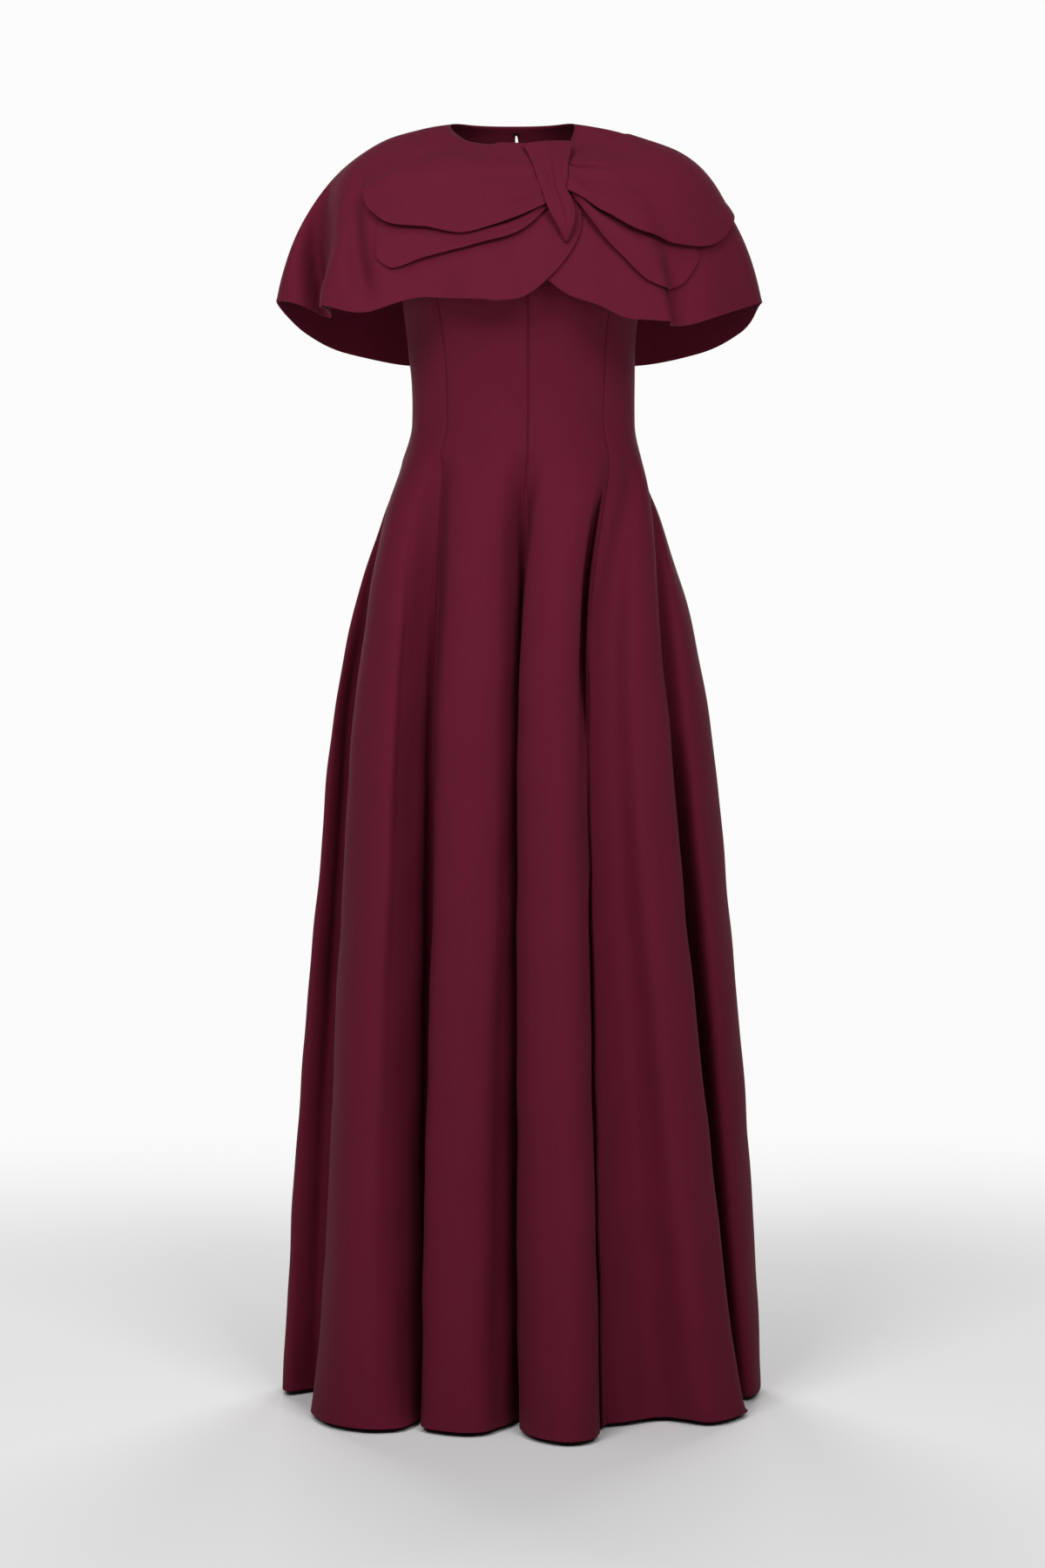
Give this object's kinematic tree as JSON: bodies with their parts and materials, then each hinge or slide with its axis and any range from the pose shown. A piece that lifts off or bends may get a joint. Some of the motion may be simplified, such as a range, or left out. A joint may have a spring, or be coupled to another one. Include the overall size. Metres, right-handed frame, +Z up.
{
  "type": "strapless evening gown",
  "caption": "Floor-length strapless gown of flared full-length gores, with an attached shoulder capelet and a draped bow on its front, hollow as worn.",
  "frame": {"origin": "On the wearer's vertical axis, level with the neck points of the shoulders, where the capelet hangs from the shoulders; it is mount wearer_shoulders.", "axes": "+Z up along the wearer's spine, -Y is the front of the gown with the bow, +X is the viewer's right when facing the front."},
  "size_m": [0.5565, 0.4423, 1.4708],
  "materials": {
    "cloth": "matte burgundy crepe",
    "hook": "dark coated metal"
  },
  "bodies": {
    "root": {"back_left": "cloth", "side_back_left": "cloth", "side_front_left": "cloth", "front_left": "cloth", "front_right": "cloth", "side_front_right": "cloth", "side_back_right": "cloth", "back_right": "cloth", "cape_left": "cloth", "cape_right": "cloth", "petal_upper_left": "cloth", "petal_lower_left": "cloth", "petal_upper_right": "cloth", "petal_lower_right": "cloth", "bow_band": "cloth", "neck_hook": "hook"}
  },
  "joints": []
}
